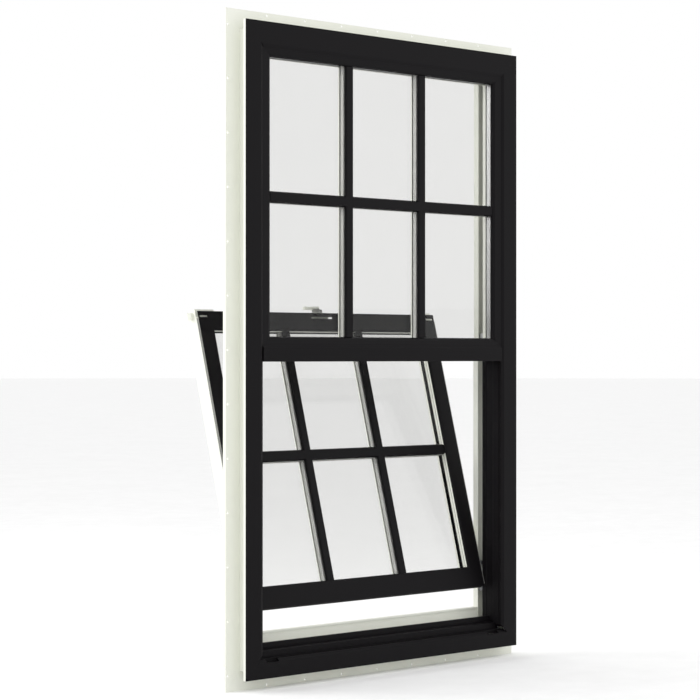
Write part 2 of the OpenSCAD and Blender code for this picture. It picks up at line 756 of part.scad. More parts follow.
// slots at the foot of the top rail's flange
module flange_slots() {
    z0 = sash_h - flange_h;
    box([-slot_lock_w2, -1, z0], [slot_lock_w2, flange_leg_t + eps, z0 + slot_h]);
    for (s = [0, 1]) mirror([s, 0, 0])
        box([-sash_w2 + slot_end_x[0], -1, z0],
            [-sash_w2 + slot_end_x[1], flange_leg_t + eps, z0 + slot_h]);
}

module bar_slot() {
    box([-sash_w2 - 1, pivot_y - bar_y / 2, pivot_h - bar_z / 2],
        [-sash_w2 + stile_w + 4, pivot_y + bar_y / 2, pivot_h + bar_z / 2]);
}

module sash_stile() {
    in_sash() difference() {
        translate([-sash_w2, 0, sash_h / 2]) intersection() {
            upright(sash_h) stile_section();
            mitre_upright(sash_h / 2, 0, stile_w);
        }
        translate([-sash_w2, 0, leg_h]) linear_extrude(height = sash_h - leg_h - flange_h - wall)
            stile_chambers();
        translate([-sash_w2, 0, 0]) intersection() {
            translate([0, 0, wall]) linear_extrude(height = leg_h) stile_chambers();
            box([0, 0, 0], [stile_w, leg_d - wall, leg_h + 1]);
        }
        box([-sash_w2 - 1, flange_leg_t, sash_h - flange_h], [-sash_w2 + stile_w, sash_d + 1,
            sash_h + 1]);
        box([-sash_w2 - 1, leg_d, -1], [-sash_w2 + stile_w, sash_d + 1, leg_h]);
        latch_pocket();
        flange_slots();
        bar_slot();
    }
}
module sash_stile_left() { color(cream) sash_stile(); }
module sash_stile_right() { color(cream) mirror([1, 0, 0]) sash_stile(); }

module sash_bottom_rail() {
    rebate_v = bottom_rail_h - rebate;
    color(cream) in_sash() difference() {
        intersection() {
            level(2 * sash_w2) difference() {
                polygon([[0, 0], [bottom_rail_h - 3, 0], [bottom_rail_h, 3],
                    [bottom_rail_h, lip_d], [rebate_v, lip_d], [rebate_v, sash_d],
                    [leg_h, sash_d], [leg_h, leg_d], [0, leg_d]]);
                polygon([[wall, wall], [bottom_rail_h - 4, wall], [bottom_rail_h - wall, 3.8],
                    [bottom_rail_h - wall, lip_d - wall], [wall, lip_d - wall]]);
                polygon([[wall, lip_d], [rebate_v - wall, lip_d],
                    [rebate_v - wall, leg_d - 1.5], [wall, leg_d - 1.5]]);
            }
            mitre_level(sash_w2, 0, stile_w);
        }
        bar_slot();
        mirror([1, 0, 0]) bar_slot();
    }
}

module sash_top_rail() {
    rebate_v = top_rail_h - rebate;
    body_v = flange_h + wall;
    color(cream) in_sash() difference() {
        translate([0, 0, sash_h]) mirror([0, 0, 1]) intersection() {
            level(2 * sash_w2) difference() {
                polygon([[0, 0], [top_rail_h - 3, 0], [top_rail_h, 3],
                    [top_rail_h, lip_d], [rebate_v, lip_d], [rebate_v, sash_d],
                    [flange_h + 3, sash_d], [flange_h, sash_d - 3], [flange_h, flange_leg_t],
                    [0, flange_leg_t]]);
                polygon([[body_v, wall], [top_rail_h - 4, wall], [top_rail_h - wall, 3.8],
                    [top_rail_h - wall, lip_d - wall], [body_v, lip_d - wall]]);
                polygon([[body_v, lip_d], [rebate_v - wall, lip_d], [rebate_v - wall, 20],
                    [body_v, 20]]);
                polygon([[body_v, 22], [rebate_v - wall, 22], [rebate_v - wall, sash_d - wall],
                    [body_v + 2, sash_d - wall], [body_v, sash_d - 4]]);
            }
            mitre_level(sash_w2, 0, stile_w);
        }
        latch_pocket();
        mirror([1, 0, 0]) latch_pocket();
        flange_slots();
        for (s = [-1, 1]) translate([s * lock_screw[0], lock_screw[1], sash_h - flange_h - 9])
            cylinder(r = lock_screw_r, h = 20);
    }
}

// room-side bead round the sash's glass
module sash_bead_section() {
    polygon([[stile_w - rebate, sash_glass_back], [stile_w, sash_glass_back],
        [stile_w, sash_glass_back + 1.5], [stile_w - 8, sash_glass_back + 9.5],
        [stile_w - 9.5, sash_d], [stile_w - rebate, sash_d]]);
}

module sash_side_bead() {
    low = bottom_rail_h - stile_w;
    top = top_rail_h - stile_w;
    in_sash() translate([-sash_w2, 0, 0]) intersection() {
        linear_extrude(height = sash_h) sash_bead_section();
        rotate([90, 0, 0]) linear_extrude(height = 400, center = true)
            polygon([[0, low], [stile_w, low + stile_w],
                [stile_w, sash_h - top - stile_w], [0, sash_h - top]]);
    }
}
module sash_bead_left() { color(cream) sash_side_bead(); }
module sash_bead_right() { color(cream) mirror([1, 0, 0]) sash_side_bead(); }

module sash_end_bead(up) {
    in_sash() translate([0, 0, up ? sash_open_low - stile_w : sash_open_top + stile_w])
        mirror([0, 0, up ? 0 : 1]) intersection() {
            level(2 * sash_w2) sash_bead_section();
            mitre_level(sash_w2, 0, stile_w);
        }
}
module sash_bead_bottom() { color(cream) sash_end_bead(true); }
module sash_bead_top() { color(cream) sash_end_bead(false); }

module sash_pane(y0) {
    in_sash() box([-sash_open_x - bite, y0, sash_open_low - bite],
        [sash_open_x + bite, y0 + pane_t, sash_open_top + bite]);
}
module sash_pane_outer() { color(glass) sash_pane(lip_d); }
module sash_pane_inner() { color(glass) sash_pane(lip_d + pane_t + pane_gap); }

module sash_spacer() {
    color(black) in_sash() ring(sash_open_x + bite - spacer_in, sash_open_low - bite + spacer_in,
        sash_open_top + bite - spacer_in, spacer_w, lip_d + pane_t, lip_d + pane_t + pane_gap);
}

module sash_setting_blocks() {
    color(black) in_sash() for (s = [-1, 1])
        box([s * sash_open_x / 2 - 40, lip_d + 0.5, sash_open_low - rebate],
            [s * sash_open_x / 2 + 40, sash_glass_back - 0.5, sash_open_low - bite]);
}

module sash_bars_outer() {
    color(black) in_sash() bars(sash_open_x, sash_open_low, sash_open_top, lip_d, lip_d - 4,
        bar_w - 5);
}
module sash_bars_between() {
    edge = bite - spacer_in - spacer_w;
    color(grey) in_sash() flat_bars(sash_open_x + edge, sash_open_low - edge,
        sash_open_top + edge, lip_d + pane_t + 1, lip_d + pane_t + pane_gap - 1);
}
module sash_bars_inner() {
    color(cream) in_sash() bars(sash_open_x, sash_open_low, sash_open_top, sash_glass_back,
        sash_glass_back + 6, bar_w - 6);
}

module sash_side_piles() {
    color(grey) in_sash() for (s = [0, 1]) mirror([s, 0, 0])
        box([-sash_w2 - pile_out, pile_y0, 4], [-sash_w2 + pile_slot, pile_y0 + pile_w,
            sash_h - flange_h - 2]);
}

module sash_bottom_seal() {
    color(black) in_sash() box([-sash_w2 + 6, 3, -seal_h], [sash_w2 - 6, 9, 0]);
}

// flat bars from anchors in the bottom rail, through the stiles, into the shoes' cams
module pivot_bars() {
    color(steel) in_sash() for (s = [0, 1]) mirror([s, 0, 0]) {
        box([-shoe_x1 + 5, pivot_y - bar_y / 2, pivot_h - bar_z / 2],
            [-sash_w2 + stile_w + 4, pivot_y + bar_y / 2, pivot_h + bar_z / 2]);
        box([-sash_w2 + stile_w - 10, lip_d + 0.5, wall], [-sash_w2 + stile_w + 16,
            leg_d - 1.5, leg_h - 2]);
    }
}

module shoe_cams() {
    color(steel) in_sash() for (s = [0, 1]) mirror([s, 0, 0]) difference() {
        translate([-shoe_x1 + 3.4, pivot_y, pivot_h]) rotate([0, 90, 0])
            cylinder(r = cam_r, h = shoe_x1 - shoe_x0 - 3.6);
        box([-shoe_x1 + 5, pivot_y - bar_y / 2, pivot_h - bar_z / 2],
            [-shoe_x0 + 10, pivot_y + bar_y / 2, pivot_h + bar_z / 2]);
    }
}

// ---------- cam lock ----------

module lock_outline(grow) {
    mid = (lock_y0 + lock_y1) / 2;
    round_r = (lock_y1 - lock_y0) / 2;
    translate([0, mid]) square([2 * (lock_w2 - round_r), 2 * round_r + 2 * grow], center = true);
    for (s = [-1, 1]) translate([s * (lock_w2 - round_r), mid]) circle(r = round_r + grow);
}

module lock_base() {
    cavity_r = tongue_l + cam_sweep;
    cavity_h = cam_z0 + cam_t + 0.5;
    color(cream) in_sash() translate([0, 0, sash_h - flange_h]) difference() {
        linear_extrude(height = lock_h) lock_outline(0);
        translate([0, cam_pivot_y, -eps]) difference() {
            cylinder(r = cavity_r, h = cavity_h);
            box([-cavity_r, lock_y1 - cam_pivot_y - 3, -1], [cavity_r, cavity_r + 1, cavity_h + 1]);
        }
        box([-cavity_r, lock_y0 - 1, -eps], [cavity_r, cam_pivot_y, cavity_h]);
        translate([0, cam_pivot_y, 1]) cylinder(r = shaft_r + shaft_fit, h = lock_h);
        for (s = [-1, 1]) translate([s * lock_screw[0], lock_screw[1], -1])
            cylinder(r = lock_screw_r, h = lock_h + 2);
    }
}

module lock_screws() {
    color(steel) in_sash() for (s = [-1, 1])
        translate([s * lock_screw[0], lock_screw[1], sash_h - flange_h - 8])
            cylinder(r = lock_screw_r, h = lock_h + 8);
}

// spindle, cam with its tongue, and the thumb lever; open, the tongue points along +X
module lock_cam() {
    color(steel) in_sash() translate([0, cam_pivot_y, sash_h - flange_h]) {
        translate([0, 0, cam_z0]) cylinder(r = shaft_r, h = lever_z);
        translate([0, 0, cam_z0]) cylinder(r = 9, h = cam_t);
        translate([0, -tongue_w2, cam_z0]) cube([tongue_l - 1, 2 * tongue_w2, cam_t]);
        translate([0, 0, lock_h + 0.4]) cylinder(r = 8, h = lever_z - lock_h - 0.4);
        translate([-lever_l + 5, -4, lever_z]) cube([lever_l - 5, 8, 4.5]);
        translate([0, 0, lever_z]) cylinder(r = 8, h = 4.5);
        translate([-lever_l + 5, 0, lever_z]) cylinder(r = 5, h = 5.5);
    }
}

// ---------- tilt latches ----------

module latch_section(grow) {
    y_mid = (latch_y0 + latch_y1) / 2;
    r = (latch_y1 - latch_y0) / 2;
    z_mid = sash_h - latch_z;
    for (s = [-1, 1]) translate([y_mid, z_mid + s * (latch_h / 2 - r)]) circle(r = r + grow);
    translate([y_mid, z_mid]) square([2 * r + 2 * grow, latch_h - 2 * r], center = true);
}

// lays a (y, z) section along X, from x0 for a given length
module across(x0, length) {
    translate([x0, 0, 0]) rotate([90, 0, 90]) linear_extrude(height = length) children();
}

module latch_housing() {
    z0 = sash_h - latch_z - latch_h / 2 - latch_floor;
    in_sash() difference() {
        across(-sash_w2, latch_box_l)
            polygon(concat([[latch_box[0][0], z0]], [for (p = latch_box) [p[0], sash_h + p[1]]],
                [[latch_box[2][0], z0]]));
        across(-sash_w2 - 1, latch_box_l - 2) latch_section(latch_fit);
        box([-sash_w2 + tab_slot[0], 15, sash_h - latch_z], [-sash_w2 + tab_slot[1], 20.6,
            sash_h + 8]);
    }
}
module latch_housings() {
    color(cream) latch_housing();
    color(cream) mirror([1, 0, 0]) latch_housing();
}

// bolt with a bevelled nose and a thumb tab
module latch_bolt() {
    in_sash() difference() {
        union() {
            across(-sash_w2 - latch_out, latch_l) latch_section(0);
            box([-sash_w2 + tab_u[0], 15.5, sash_h - latch_z], [-sash_w2 + tab_u[1], 20.1,
                sash_h + 7]);
        }
        translate([-sash_w2 - latch_out, latch_y0 - 1, sash_h - latch_z]) rotate([0, 0, 45])
            cube([9, 9, 40], center = true);
    }
}
module latch_bolt_left() { color(cream) latch_bolt(); }
module latch_bolt_right() { color(cream) mirror([1, 0, 0]) latch_bolt(); }

head();
sill();
jamb_left();
jamb_right();
jamb_liner_left();
jamb_liner_right();
meeting_rail();
meeting_rail_pile();
meeting_rail_screws();
upper_stop_head();
upper_stop_left();
upper_stop_right();
upper_bead_head();
upper_bead_sill();
upper_bead_left();
upper_bead_right();
upper_pane_outer();
upper_pane_inner();
upper_spacer();
upper_setting_blocks();
upper_bars_outer();
upper_bars_between();
upper_bars_inner();
lock_keeper();
keeper_screws();
balance_bracket_left();
balance_bracket_right();
bracket_screws();
balance_ribbon_left();
balance_ribbon_right();
balance_shoe_left();
balance_shoe_right();
balance_coil_left();
balance_coil_right();
sash_stile_left();
sash_stile_right();
sash_top_rail();
sash_bottom_rail();
sash_bead_top();
sash_bead_bottom();
sash_bead_left();
sash_bead_right();
sash_pane_outer();
sash_pane_inner();
sash_spacer();
sash_setting_blocks();
sash_bars_outer();
sash_bars_between();
sash_bars_inner();
sash_side_piles();
sash_bottom_seal();
pivot_bars();
shoe_cams();
lock_base();
lock_screws();
lock_cam();
latch_housings();
latch_bolt_left();
latch_bolt_right();
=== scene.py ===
"""Finishes and fine parts of a single-hung sash window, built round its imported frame."""

import json
import math

import bmesh
import bpy
from bpy.props import FloatProperty, FloatVectorProperty, IntProperty, PointerProperty
from mathutils import Matrix, Vector


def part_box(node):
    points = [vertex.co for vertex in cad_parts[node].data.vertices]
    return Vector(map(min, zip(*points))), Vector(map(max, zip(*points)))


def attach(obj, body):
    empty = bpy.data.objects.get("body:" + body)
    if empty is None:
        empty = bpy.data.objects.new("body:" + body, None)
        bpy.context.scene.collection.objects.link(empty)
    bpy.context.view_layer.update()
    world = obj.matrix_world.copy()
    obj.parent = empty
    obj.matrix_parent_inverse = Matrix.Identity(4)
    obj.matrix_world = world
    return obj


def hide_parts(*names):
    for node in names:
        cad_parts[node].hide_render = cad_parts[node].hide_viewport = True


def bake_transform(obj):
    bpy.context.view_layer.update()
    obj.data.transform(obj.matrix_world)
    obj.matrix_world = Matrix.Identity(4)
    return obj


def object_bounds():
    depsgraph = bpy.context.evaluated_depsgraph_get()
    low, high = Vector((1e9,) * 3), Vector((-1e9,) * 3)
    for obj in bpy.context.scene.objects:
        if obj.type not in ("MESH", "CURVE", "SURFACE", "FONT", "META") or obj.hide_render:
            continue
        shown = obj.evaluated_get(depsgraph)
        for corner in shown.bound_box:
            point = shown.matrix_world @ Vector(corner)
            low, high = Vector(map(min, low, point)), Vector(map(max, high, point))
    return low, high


bl_info = {
    "name": "Sash Window",
    "version": (1, 0, 0),
    "blender": (4, 5, 0),
    "location": "View3D > Sidebar > Sash Window",
    "description": "Finishes, weather pile, seals and hardware of a single-hung sash window",
    "category": "Object",
}

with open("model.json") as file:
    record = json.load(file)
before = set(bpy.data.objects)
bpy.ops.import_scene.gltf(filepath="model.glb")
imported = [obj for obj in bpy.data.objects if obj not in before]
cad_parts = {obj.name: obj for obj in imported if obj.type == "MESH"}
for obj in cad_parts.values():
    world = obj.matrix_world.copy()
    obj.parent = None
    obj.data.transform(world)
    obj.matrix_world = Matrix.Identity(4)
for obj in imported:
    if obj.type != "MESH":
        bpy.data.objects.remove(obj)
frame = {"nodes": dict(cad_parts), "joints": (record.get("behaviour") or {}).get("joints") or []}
CAD_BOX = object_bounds()
NODES = frame["nodes"]
TILT = next(j for j in frame["joints"] if j["name"] == "sash_tilt")
LEAN = -math.radians(TILT["range_deg"][0])
PIVOT = Vector(TILT["pos_m"])

# depths are counted in from the outside face, and sash places from its lower outside edge
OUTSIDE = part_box("jamb_left")[0].y
SCREW_HEAD_HEIGHT = 0.0022
FIN_WIDTH = 0.0365
BODY_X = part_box("meeting_rail_screws")[1].x - SCREW_HEAD_HEIGHT
HALF_H = (CAD_BOX[1].z - CAD_BOX[0].z) / 2 - FIN_WIDTH
SASH_PIVOT = Vector((0, 0.0178, 0.012))
SASH_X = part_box("sash_stile_right")[1].x
SASH_HEIGHT = 0.588
FLANGE_HEIGHT = 0.012
STILE_WIDTH = 0.0387
BOTTOM_RAIL = 0.0431
TOP_RAIL = 0.0382
EDGE_WIDTH = 0.008

# where the films and the sealant band stop
REVEAL_INSET = 0.012
RAIL_SPLIT = 0.027
BEAD_LIP = 0.029
SEALANT_DEPTH = 0.0165
FILM_SPECULAR = 0.08

# weather pile in the stiles: its depths from the face, its groove and its reach
PILE_Y = (0.0009, 0.0039)
PILE_GROOVE = 0.0024
PILE_REACH = 0.0033
PILE_LOW = 0.004
PILE_TOP_GAP = 0.002

# bulb seal under the sash: its end gap, its depths and how far it hangs
SEAL_END_GAP = 0.006
SEAL_Y = (0.003, 0.009)
SEAL_DROP = 0.0022

RIBBON_STEPS = 60
COIL_STEPS_PER_TURN = 36
COIL_INNER = 0.0048

# lock: spindle, cam, hub and lever, in plan about the spindle and up from the rail's top
LOCK_DEPTH = 0.014
SPINDLE_RADIUS = 0.004
CAM_RADIUS = 0.009
CAM_REACH = 0.018
TONGUE_HALF = 0.0035
HUB_RADIUS = 0.008
HEEL_REACH = 0.0115
LEVER_END = (-0.029, 0.001)


def sash_place():
    """The matrix that takes the sash's own frame to its leaning place."""
    return (
        Matrix.Translation(PIVOT)
        @ Matrix.Rotation(-LEAN, 4, "X")
        @ Matrix.Translation(-SASH_PIVOT)
    )


# ---------- sizes and colours that a user would change ----------


class WindowFinishes(bpy.types.PropertyGroup):
    """Colours of the window's finishes."""

    outside: FloatVectorProperty(
        name="Outside", description="Colour of the outside film", subtype="COLOR",
        size=3, min=0, max=1, default=(0.0052, 0.0046, 0.0054),
    )
    inside: FloatVectorProperty(
        name="Inside", description="Colour of the vinyl", subtype="COLOR",
        size=3, min=0, max=1, default=(0.80, 0.81, 0.74),
    )
    glass: FloatVectorProperty(
        name="Glass", description="Tint of one pane", subtype="COLOR",
        size=3, min=0, max=1, default=(0.88, 0.88, 0.875),
    )
    steel: FloatVectorProperty(
        name="Steel", description="Colour of the hardware's steel", subtype="COLOR",
        size=3, min=0, max=1, default=(0.52, 0.53, 0.54),
    )
    edge_round: FloatProperty(
        name="Edge rounding", description="Radius that catches light on hard edges",
        unit="LENGTH", min=0, max=0.003, default=0.0006,
    )
    roughness: FloatProperty(
        name="Roughness", description="Roughness of the vinyl", subtype="FACTOR",
        min=0, max=1, default=0.42,
    )


class WindowParts(bpy.types.PropertyGroup):
    """Sizes of the fine parts."""

    tuft_pitch: FloatProperty(
        name="Tuft pitch", description="Distance between the pile's tufts",
        unit="LENGTH", min=0.0005, max=0.01, default=0.0014,
    )
    coil_turns: IntProperty(
        name="Coil turns", description="Turns of spring in each balance coil",
        min=3, max=20, default=9,
    )
    seal_round: IntProperty(
        name="Seal steps", description="Steps round the bottom seal's bulb",
        min=6, max=32, default=14,
    )
    lever_bevel: FloatProperty(
        name="Lever rounding", description="Rounding of the lock lever's edges",
        unit="LENGTH", min=0, max=0.003, default=0.0009,
    )


class WindowStage(bpy.types.PropertyGroup):
    """Floor, light and camera."""

    floor: FloatVectorProperty(
        name="Floor", description="Colour of the floor", subtype="COLOR",
        size=3, min=0, max=1, default=(0.93, 0.93, 0.93),
    )
    sky: FloatProperty(
        name="Sky", description="Strength of the surrounding light", min=0, max=5, default=1.0,
    )
    key: FloatProperty(
        name="Key light", description="Power of the main light", min=0, max=5000, default=34,
    )
    camera_place: FloatVectorProperty(
        name="Camera place", description="Where the camera stands", subtype="TRANSLATION",
        unit="LENGTH", size=3, default=(-3.4149, -3.2498, -0.010),
    )
    camera_turn: FloatProperty(
        name="Camera turn", description="Turn of the level camera about the upright axis",
        subtype="ANGLE", default=math.radians(-45.769),
    )
    camera_lens: FloatProperty(
        name="Lens", description="Focal length on a 36 mm sensor", unit="CAMERA",
        min=10, max=500, default=121.72,
    )


# ---------- node helpers ----------


def new_node(tree, kind, **values):
    """Adds a node and sets its settings, then its input sockets by name or number."""
    node = tree.nodes.new(kind)
    for key, value in values.items():
        if key != "sockets":
            setattr(node, key, value)
    for key, value in values.get("sockets", {}).items():
        if isinstance(value, bpy.types.NodeSocket):
            tree.links.new(value, node.inputs[key])
        else:
            node.inputs[key].default_value = value
    return node


def maths(tree, operation, a, b=0.0, c=0.0):
    """The output of a Math node on two or three sockets or numbers."""
    return new_node(tree, "ShaderNodeMath", operation=operation,
                    sockets={0: a, 1: b, 2: c}).outputs[0]


def begin_group(name, inputs, outputs):
    """A shader node group with its sockets, and its input and output nodes."""
    tree = bpy.data.node_groups.new(name, "ShaderNodeTree")
    for label, kind, value in inputs:
        socket = tree.interface.new_socket(label, in_out="INPUT", socket_type=kind)
        socket.default_value = value
    for label, kind in outputs:
        tree.interface.new_socket(label, in_out="OUTPUT", socket_type=kind)
    return tree, tree.nodes.new("NodeGroupInput"), tree.nodes.new("NodeGroupOutput")


FLOAT = "NodeSocketFloat"
VECTOR = "NodeSocketVector"


def grain_group():
    """Fine moulded or extruded texture: an uneven tone and a height."""
    tree, given, out = begin_group(
        "Grain",
        [("Scale", FLOAT, 900.0), ("Stretch", VECTOR, (1, 1, 1))],
        [("Tone", FLOAT), ("Height", FLOAT)],
    )
    place = new_node(tree, "ShaderNodeTexCoord").outputs["Object"]
    spread = new_node(tree, "ShaderNodeVectorMath", operation="MULTIPLY",
                      sockets={0: place, 1: given.outputs["Stretch"]}).outputs[0]
    fine = new_node(tree, "ShaderNodeTexNoise",
                    sockets={"Vector": spread, "Scale": given.outputs["Scale"], "Detail": 2.0})
    broad = new_node(tree, "ShaderNodeTexNoise",
                     sockets={"Vector": spread, "Scale": 14.0, "Detail": 3.0, "Roughness": 0.6})
    tone = maths(tree, "MULTIPLY_ADD", fine.outputs[0], 0.35,
                 maths(tree, "MULTIPLY", broad.outputs[0], 0.65))
    tree.links.new(tone, out.inputs["Tone"])
    tree.links.new(fine.outputs[0], out.inputs["Height"])
    return tree


def below(tree, value, limit):
    """1 where a value is under a limit, else 0."""
    return maths(tree, "LESS_THAN", value, limit)


def frame_film_group():
    """Mask of the black film on the frame: the face, and the reveal to a given depth."""
    tree, given, out = begin_group(
        "Frame film",
        [("Split depth", FLOAT, 0.054), ("Face depth", FLOAT, 0.0005),
         ("Inner half width", FLOAT, 0.36), ("Inner half height", FLOAT, 0.59)],
        [("Film", FLOAT)],
    )
    place = new_node(tree, "ShaderNodeTexCoord").outputs["Object"]
    axes = new_node(tree, "ShaderNodeSeparateXYZ", sockets={0: place}).outputs
    depth = maths(tree, "SUBTRACT", axes["Y"], OUTSIDE)
    face = below(tree, depth, given.outputs["Face depth"])
    across = below(tree, maths(tree, "ABSOLUTE", axes["X"]), given.outputs["Inner half width"])
    up = below(tree, maths(tree, "ABSOLUTE", axes["Z"]), given.outputs["Inner half height"])
    near = below(tree, depth, given.outputs["Split depth"])
    reveal = maths(tree, "MULTIPLY", maths(tree, "MULTIPLY", across, up), near)
    tree.links.new(maths(tree, "MAXIMUM", face, reveal), out.inputs["Film"])
    return tree


def sash_axes(tree):
    """The sash's own X, Y and Z at a point of the leaning sash."""
    place = new_node(tree, "ShaderNodeTexCoord").outputs["Object"]
    upright = new_node(tree, "ShaderNodeVectorRotate", rotation_type="X_AXIS",
                       sockets={"Vector": place, "Center": PIVOT, "Angle": LEAN}).outputs[0]
    local = new_node(tree, "ShaderNodeVectorMath", operation="SUBTRACT",
                     sockets={0: upright, 1: PIVOT - SASH_PIVOT}).outputs[0]
    return new_node(tree, "ShaderNodeSeparateXYZ", sockets={0: local}).outputs


def sash_film_group():
    """Mask of the black film on the leaning sash: its face, glass lip, flange and foot."""
    tree, given, out = begin_group(
        "Sash film",
        [("Face depth", FLOAT, 0.0005), ("Lip depth", FLOAT, 0.0042)],
        [("Film", FLOAT)],
    )
    axes = sash_axes(tree)
    face = below(tree, axes["Y"], given.outputs["Face depth"])
    lip_x = SASH_X - STILE_WIDTH + EDGE_WIDTH
    lip_low = BOTTOM_RAIL - EDGE_WIDTH
    lip_top = SASH_HEIGHT - TOP_RAIL + EDGE_WIDTH
    across = below(tree, maths(tree, "ABSOLUTE", axes["X"]), lip_x)
    over = below(tree, lip_low, axes["Z"])
    under = below(tree, axes["Z"], lip_top)
    near = below(tree, axes["Y"], given.outputs["Lip depth"])
    lip = maths(tree, "MULTIPLY", maths(tree, "MULTIPLY", across, over),
                maths(tree, "MULTIPLY", under, near))
    flange = below(tree, SASH_HEIGHT - FLANGE_HEIGHT + 0.0003, axes["Z"])
    foot = below(tree, axes["Z"], 0.0005)
    wrapped = maths(tree, "MAXIMUM", flange, foot)
    tree.links.new(maths(tree, "MAXIMUM", maths(tree, "MAXIMUM", face, lip), wrapped),
                   out.inputs["Film"])
    return tree


def sash_edge_group():
    """Mask of the black sealant band on the room side of the sash's spacer."""
    tree, given, out = begin_group(
        "Sash edge", [("From depth", FLOAT, 0.0165)], [("Film", FLOAT)])
    band = below(tree, given.outputs["From depth"], sash_axes(tree)["Y"])
    tree.links.new(band, out.inputs["Film"])
    return tree


GROUP_MAKERS = {"Grain": grain_group, "Frame film": frame_film_group,
                "Sash film": sash_film_group, "Sash edge": sash_edge_group}


def place_group(tree, name, **sockets):
    """Puts a shared node group into a material, and builds it the first time."""
    group = bpy.data.node_groups.get(name) or GROUP_MAKERS[name]()
    return new_node(tree, "ShaderNodeGroup", node_tree=group, sockets=sockets)


# ---------- materials ----------


def rgba(colour, share=1.0):
    """A colour scaled by a share, with full alpha."""
    return tuple(min(1.0, c * share) for c in colour) + (1.0,)


def blank_material(name):
    """An empty material with a Principled shader and its output."""
    material = bpy.data.materials.new(name)
    material.use_nodes = True
    tree = material.node_tree
    tree.nodes.clear()
    shader = tree.nodes.new("ShaderNodeBsdfPrincipled")
    out = tree.nodes.new("ShaderNodeOutputMaterial")
    tree.links.new(shader.outputs[0], out.inputs[0])
    return material, tree, shader, out


def colour_mix(tree, factor, a, b):
    """A colour between two, by a mask."""
    return new_node(tree, "ShaderNodeMix", data_type="RGBA",
                    sockets={0: factor, 6: a, 7: b}).outputs[2]


def number_mix(tree, factor, a, b):
    """A number between two, by a mask."""
    return new_node(tree, "ShaderNodeMapRange",
                    sockets={"Value": factor, "To Min": a, "To Max": b}).outputs[0]


def soft_bump(tree, height, distance, strength=0.4):
    """A normal with hard edges rounded to catch light, and a fine height on it."""
    radius = bpy.context.scene.window_finishes.edge_round
    edge = new_node(tree, "ShaderNodeBevel", samples=4, sockets={"Radius": radius})
    return new_node(tree, "ShaderNodeBump",
                    sockets={"Height": height, "Distance": distance, "Strength": strength,
                             "Normal": edge.outputs[0]}).outputs[0]


def vinyl(name, colour, roughness, specular=0.4, scale=900.0, stretch=(1, 1, 1)):
    """Satin vinyl, rubber or moulded plastic in one colour."""
    found = bpy.data.materials.get(name)
    if found:
        return found
    material, tree, shader, _ = blank_material(name)
    grain = place_group(tree, "Grain", Scale=scale, Stretch=stretch)
    tone = grain.outputs["Tone"]
    base = colour_mix(tree, tone, rgba(colour, 0.93), rgba(colour, 1.07))
    tree.links.new(base, shader.inputs["Base Color"])
    tree.links.new(number_mix(tree, tone, roughness - 0.05, roughness + 0.06),
                   shader.inputs["Roughness"])
    tree.links.new(soft_bump(tree, grain.outputs["Height"], 0.00004), shader.inputs["Normal"])
    shader.inputs["Specular IOR Level"].default_value = specular
    return material


def two_tone(name, group, **sockets):
    """Cream vinyl with the black outside film where the group's mask says."""
    found = bpy.data.materials.get(name)
    if found:
        return found
    finishes = bpy.context.scene.window_finishes
    material, tree, shader, _ = blank_material(name)
    grain = place_group(tree, "Grain", Scale=1100.0)
    tone = grain.outputs["Tone"]
    film = place_group(tree, group, **sockets).outputs["Film"]
    cream = colour_mix(tree, tone, rgba(finishes.inside, 0.96), rgba(finishes.inside, 1.03))
    black = colour_mix(tree, tone, rgba(finishes.outside, 0.85), rgba(finishes.outside, 1.15))
    tree.links.new(colour_mix(tree, film, cream, black), shader.inputs["Base Color"])
    rough = maths(tree, "MULTIPLY_ADD", film, 0.08,
                  number_mix(tree, tone, finishes.roughness - 0.04, finishes.roughness + 0.05))
    tree.links.new(rough, shader.inputs["Roughness"])
    tree.links.new(soft_bump(tree, grain.outputs["Height"], 0.00003), shader.inputs["Normal"])
    shader.inputs["Specular IOR Level"].default_value = FILM_SPECULAR
    return material


def cream_vinyl():
    finishes = bpy.context.scene.window_finishes
    return vinyl("cream_vinyl", finishes.inside, finishes.roughness, 0.35)


def black_film():
    finishes = bpy.context.scene.window_finishes
    return vinyl("black_film", finishes.outside, finishes.roughness + 0.06, FILM_SPECULAR,
                 1100.0)


def metal(name, colour, roughness, scale, stretch):
    """Metal brushed or drawn along one way."""
    found = bpy.data.materials.get(name)
    if found:
        return found
    material, tree, shader, _ = blank_material(name)
    grain = place_group(tree, "Grain", Scale=scale, Stretch=stretch)
    tone = grain.outputs["Tone"]
    tree.links.new(colour_mix(tree, tone, rgba(colour, 0.8), rgba(colour, 1.15)),
                   shader.inputs["Base Color"])
    tree.links.new(number_mix(tree, tone, roughness - 0.12, roughness + 0.15),
                   shader.inputs["Roughness"])
    tree.links.new(soft_bump(tree, grain.outputs["Height"], 0.00006), shader.inputs["Normal"])
    shader.inputs["Metallic"].default_value = 1.0
    return material


def steel():
    finishes = bpy.context.scene.window_finishes
    return metal("drawn_steel", finishes.steel, 0.38, 700.0, (0.15, 1, 1))


# Die-cast zinc for the keeper and the lock's spindle, cam, hub and heel, darker than bare zinc:
# real metal, and in part painted shade standing in for the shade round the lock's hub and heel.
def zinc_darkened_for_shade():
    return metal("zinc_darkened_for_shade", (0.28, 0.28, 0.27), 0.5, 1500.0, (1, 1, 1))


def enamel():
    return vinyl("enamel", bpy.context.scene.window_finishes.inside, 0.3, 0.5)


def bar_paint():
    return vinyl("bar_paint", (0.42, 0.42, 0.40), 0.5)


def block_rubber():
    return vinyl("block_rubber", (0.02, 0.02, 0.02), 0.75, 0.3, 500.0)


